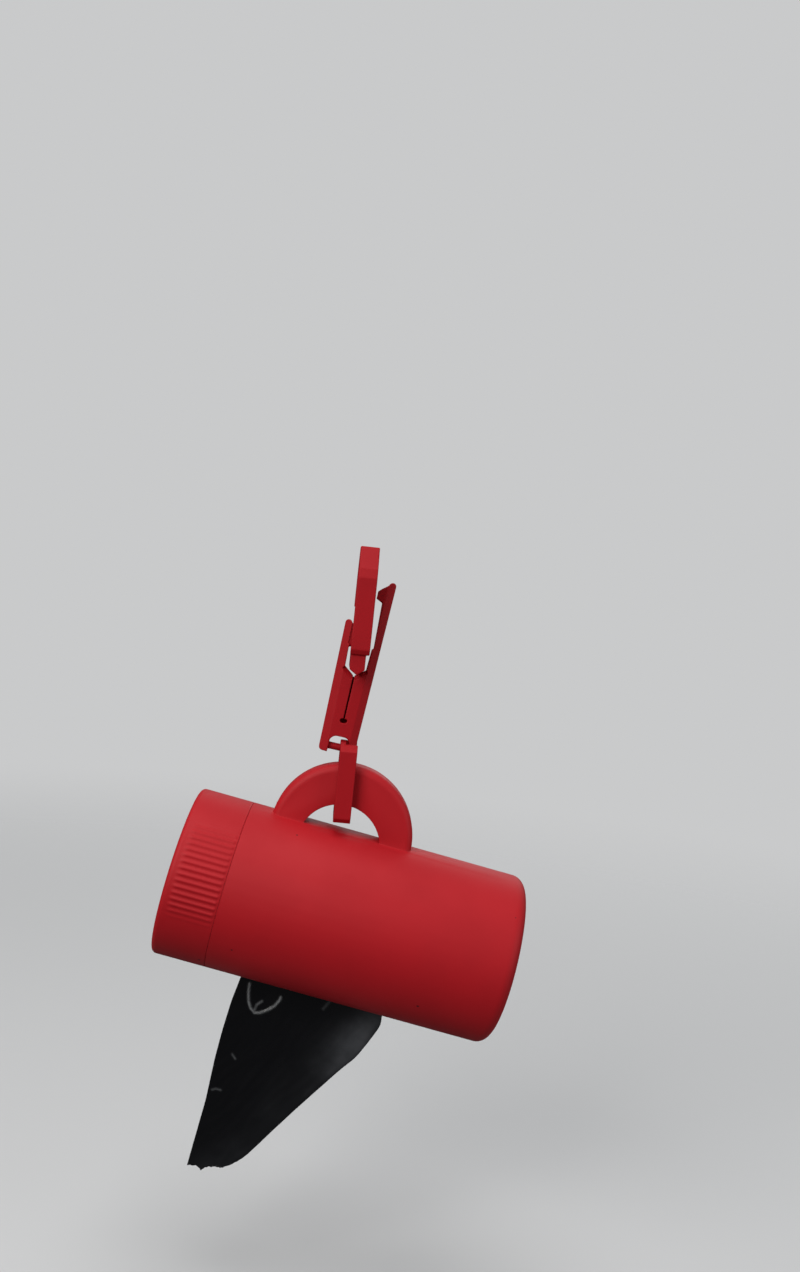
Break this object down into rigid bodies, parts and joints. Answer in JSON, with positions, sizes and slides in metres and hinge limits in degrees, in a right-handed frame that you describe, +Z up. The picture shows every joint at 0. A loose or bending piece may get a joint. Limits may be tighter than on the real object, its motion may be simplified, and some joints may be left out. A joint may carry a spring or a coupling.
{
  "type": "dog waste bag dispenser",
  "caption": "Round barrel with a ribbed screw cap that holds a roll of pet waste bags, fed out through a slot, hung by its arch from a link, a snap fork and a leash hook.",
  "frame": {"origin": "inner top of the leash hook, where the leash bears", "axes": "+Z up, along the load line from the barrel to the leash; +X along the barrel towards its closed end; +Y away from the viewer, through the arch"},
  "size_m": [0.0956, 0.0446, 0.1697],
  "materials": {
    "red_plastic": "satin",
    "black_film": "satin",
    "core_board": "matte"
  },
  "bodies": {
    "leash_hook": {"leash_hook": "red_plastic"},
    "hook_gate": {"hook_gate": "red_plastic"},
    "snap_fork": {"snap_fork": "red_plastic"},
    "link": {"link": "red_plastic"},
    "housing": {"housing": "red_plastic"},
    "screw_cap": {"screw_cap": "red_plastic"},
    "bag_roll": {"bag_roll": "black_film", "roll_core": "core_board"},
    "bag_tail": {"bag_tail": "black_film"}
  },
  "joints": [
    {"name": "gate_spring", "type": "hinge", "parent": "leash_hook", "child": "hook_gate", "pos_m": [-0.00058, 0.00809, -0.02245], "axis": [0.9994, 0.0349, 0], "range_deg": [0, 28], "stiffness_Nm_per_rad": 0.06},
    {"name": "fork_swing", "type": "hinge", "parent": "leash_hook", "child": "snap_fork", "pos_m": [0, 0, -0.02227], "axis": [0.9994, 0.0349, 0], "range_deg": [-12, 12]},
    {"name": "link_swing", "type": "hinge", "parent": "snap_fork", "child": "link", "pos_m": [-0.0017, -0.00006, -0.05048], "axis": [0.9994, 0.0349, 0], "range_deg": [-35, 35]},
    {"name": "barrel_swing", "type": "hinge", "parent": "link", "child": "housing", "pos_m": [-0.0003, 0, -0.07575], "axis": [0, 1, 0], "range_deg": [-45, 15]},
    {"name": "cap_off", "type": "slide", "parent": "housing", "child": "screw_cap", "axis": [-0.9848, 0, 0.1736], "range_m": [0, 0.022]},
    {"name": "roll_spin", "type": "hinge", "parent": "housing", "child": "bag_roll", "pos_m": [-0.00234, 0, -0.09651], "axis": [0.9848, 0, -0.1736], "range_deg": [0, 41.7]},
    {"name": "tail_pull", "type": "slide", "parent": "housing", "child": "bag_tail", "axis": [-0.1736, 0, -0.9848], "range_m": [0, 0.0121]}
  ],
  "couplings": [
    {"joint": "tail_pull", "follows": "roll_spin", "m_per_rad": 0.0165}
  ]
}
